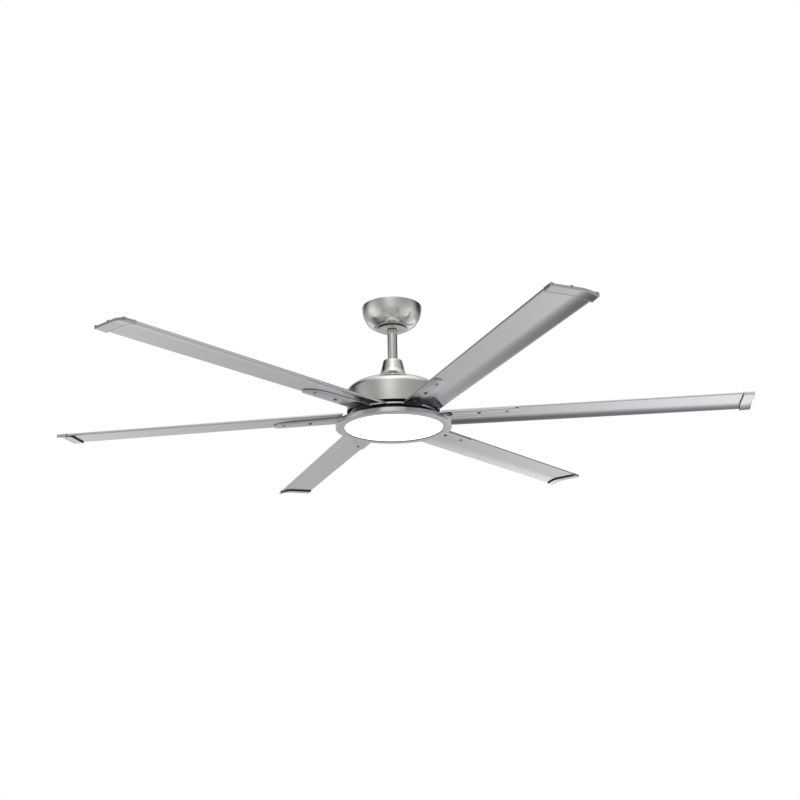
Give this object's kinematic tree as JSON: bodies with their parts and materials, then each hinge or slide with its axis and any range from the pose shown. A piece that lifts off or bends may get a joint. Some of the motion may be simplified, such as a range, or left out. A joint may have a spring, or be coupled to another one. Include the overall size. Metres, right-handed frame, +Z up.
{
  "type": "ceiling fan",
  "caption": "Ceiling fan with long silver blades on flat arms under a drum motor housing, hung on a short rod from a bowl-shaped canopy, with a flush round light below the hub.",
  "frame": {"origin": "on the ceiling plane, at the centre of the top plate of the hanging bracket, on the fan's axis", "axes": "+Z up, along the rod and the rotor's axis, into the ceiling; +X to the right and +Y away from the viewer in the picture's view"},
  "size_m": [1.8304, 1.7306, 0.3442],
  "materials": {
    "satin_nickel": "satin",
    "blade_silver": "satin",
    "cap_silver": "satin",
    "arm_steel": "satin",
    "fastener_black": "satin",
    "zinc_steel": "satin",
    "dark_cast": "matte",
    "dark_plastic": "matte",
    "pan_black": "matte",
    "white_plastic": "satin",
    "led_white": "matte",
    "light_ring_grey": "satin",
    "diffuser_white": "satin",
    "copper_winding": "gloss",
    "lamination_steel": "matte",
    "magnet_black": "matte",
    "bearing_steel": "polished",
    "board_green": "satin",
    "nylon": "satin"
  },
  "bodies": {
    "mount": {"ceiling_bracket": "zinc_steel", "canopy": "satin_nickel", "canopy_trim_ring": "satin_nickel", "canopy_screw_1": "zinc_steel", "canopy_screw_2": "zinc_steel", "receiver_box": "white_plastic", "terminal_block": "white_plastic"},
    "seat_liner": {"ball_seat_liner": "nylon"},
    "hanger": {"hanger_ball": "dark_plastic", "ball_pin": "zinc_steel", "downrod": "satin_nickel", "coupling_cover": "satin_nickel", "motor_coupling": "zinc_steel", "coupling_pin": "zinc_steel", "coupling_pin_clip": "zinc_steel", "coupling_set_screw": "fastener_black", "motor_shaft": "zinc_steel", "housing_lock_nut": "zinc_steel", "light_lock_nut": "zinc_steel", "upper_bearing_inner_race": "bearing_steel", "lower_bearing_inner_race": "bearing_steel", "stator_core": "lamination_steel", "stator_winding": "copper_winding", "motor_board": "board_green", "motor_housing": "satin_nickel", "light_pan": "pan_black", "light_ring": "light_ring_grey", "led_board": "led_white", "diffuser": "diffuser_white"},
    "rotor": {"rotor_housing": "dark_cast", "rotor_cover": "dark_cast", "magnet_ring": "magnet_black", "upper_bearing_outer_race": "bearing_steel", "lower_bearing_outer_race": "bearing_steel", "flywheel": "zinc_steel", "hub_cover": "dark_plastic", "blade_arm_1": "arm_steel", "blade_arm_2": "arm_steel", "blade_arm_3": "arm_steel", "blade_arm_4": "arm_steel", "blade_arm_5": "arm_steel", "blade_arm_6": "arm_steel", "blade_1": "blade_silver", "blade_2": "blade_silver", "blade_3": "blade_silver", "blade_4": "blade_silver", "blade_5": "blade_silver", "blade_6": "blade_silver", "blade_cap_1": "cap_silver", "blade_cap_2": "cap_silver", "blade_cap_3": "cap_silver", "blade_cap_4": "cap_silver", "blade_cap_5": "cap_silver", "blade_cap_6": "cap_silver", "blade_fixing_1": "fastener_black", "blade_fixing_2": "fastener_black", "blade_fixing_3": "fastener_black", "blade_fixing_4": "fastener_black", "blade_fixing_5": "fastener_black", "blade_fixing_6": "fastener_black"}
  },
  "joints": [
    {"name": "swing_x", "type": "hinge", "parent": "mount", "child": "seat_liner", "pos_m": [0, 0, -0.036], "axis": [1, 0, 0], "range_deg": [-3, 3]},
    {"name": "swing_y", "type": "hinge", "parent": "seat_liner", "child": "hanger", "pos_m": [0, 0, -0.036], "axis": [0, 1, 0], "range_deg": [-3, 3]},
    {"name": "rotor_spin", "type": "hinge", "parent": "hanger", "child": "rotor", "pos_m": [0, 0, -0.3106], "axis": [0, 0, 1], "continuous": true}
  ]
}
